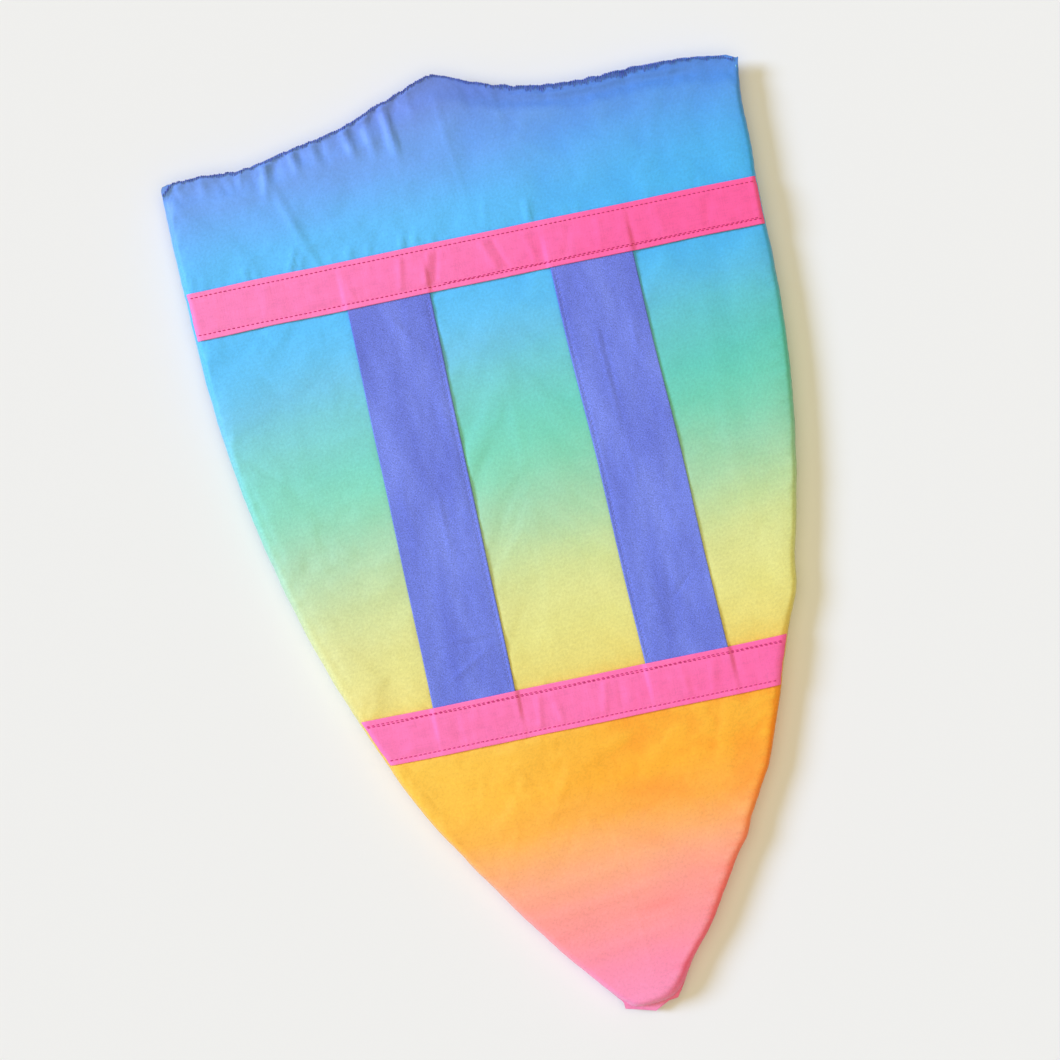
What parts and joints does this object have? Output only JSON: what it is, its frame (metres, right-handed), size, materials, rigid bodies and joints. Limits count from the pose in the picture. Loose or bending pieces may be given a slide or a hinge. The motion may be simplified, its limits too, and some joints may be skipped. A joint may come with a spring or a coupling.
{
  "type": "soft play shield",
  "caption": "Soft toy shield: foam board in a sewn dyed silk cover, cotton bands across the back and fabric arm straps.",
  "frame": {"origin": "under the middle of the shield's box, on the surface that its front face lies on", "axes": "+X to the right when the back is seen with the point down, +Y towards the top edge, +Z out of the back"},
  "size_m": [0.328, 0.5344, 0.0164],
  "materials": {
    "foam": "matt open-cell foam",
    "silk": "satin silk, dyed from violet through blue, green, yellow and orange to pink",
    "seam_thread": "matt polyester thread",
    "overlock_thread": "matt polyester thread",
    "band_cotton": "matt plain-woven cotton",
    "band_thread": "matt polyester thread",
    "strap_silk": "folded silk, soft sheen",
    "strap_thread": "matt polyester thread"
  },
  "bodies": {
    "shield": {"foam_core": "foam", "front_panel": "silk", "back_panel": "silk", "top_overlock": "overlock_thread", "side_seam_thread": "seam_thread", "upper_band": "band_cotton", "upper_band_top_stitch": "band_thread", "upper_band_bottom_stitch": "band_thread", "upper_band_second_stitch": "band_thread", "lower_band": "band_cotton", "lower_band_top_stitch": "band_thread", "lower_band_bottom_stitch": "band_thread", "lower_band_second_stitch": "band_thread", "left_strap_upper_end": "strap_silk", "left_strap_lower_end": "strap_silk", "right_strap_upper_end": "strap_silk", "right_strap_lower_end": "strap_silk"},
    "left_strap_middle": {"left_strap_middle": "strap_silk", "left_strap_middle_stitch": "strap_thread"},
    "left_strap_upper_leg": {"left_strap_upper_leg": "strap_silk", "left_strap_upper_leg_stitch": "strap_thread"},
    "left_strap_lower_leg": {"left_strap_lower_leg": "strap_silk", "left_strap_lower_leg_stitch": "strap_thread"},
    "right_strap_middle": {"right_strap_middle": "strap_silk", "right_strap_middle_stitch": "strap_thread"},
    "right_strap_upper_leg": {"right_strap_upper_leg": "strap_silk", "right_strap_upper_leg_stitch": "strap_thread"},
    "right_strap_lower_leg": {"right_strap_lower_leg": "strap_silk", "right_strap_lower_leg_stitch": "strap_thread"}
  },
  "joints": [
    {"name": "left_strap_lift", "type": "slide", "parent": "shield", "child": "left_strap_middle", "axis": [0, 0, 1], "range_m": [0, 0.03]},
    {"name": "left_strap_upper_hinge", "type": "hinge", "parent": "shield", "child": "left_strap_upper_leg", "pos_m": [-0.05214, 0.14862, 0.0139], "axis": [-0.9997, 0.0249, 0], "range_deg": [0, 24]},
    {"name": "left_strap_lower_hinge", "type": "hinge", "parent": "shield", "child": "left_strap_lower_leg", "pos_m": [-0.05766, -0.07309, 0.0139], "axis": [0.9997, -0.0249, 0], "range_deg": [0, 24]},
    {"name": "right_strap_lift", "type": "slide", "parent": "shield", "child": "right_strap_middle", "axis": [0, 0, 1], "range_m": [0, 0.03]},
    {"name": "right_strap_upper_hinge", "type": "hinge", "parent": "shield", "child": "right_strap_upper_leg", "pos_m": [0.0624, 0.14502, 0.0139], "axis": [-1, 0.0013, 0], "range_deg": [0, 24]},
    {"name": "right_strap_lower_hinge", "type": "hinge", "parent": "shield", "child": "right_strap_lower_leg", "pos_m": [0.0621, -0.07686, 0.0139], "axis": [1, -0.0013, 0], "range_deg": [0, 24]}
  ],
  "couplings": [
    {"joint": "left_strap_upper_hinge", "follows": "left_strap_lift", "rad_per_m": 13.889},
    {"joint": "left_strap_lower_hinge", "follows": "left_strap_lift", "rad_per_m": 13.889},
    {"joint": "right_strap_upper_hinge", "follows": "right_strap_lift", "rad_per_m": 13.889},
    {"joint": "right_strap_lower_hinge", "follows": "right_strap_lift", "rad_per_m": 13.889}
  ]
}
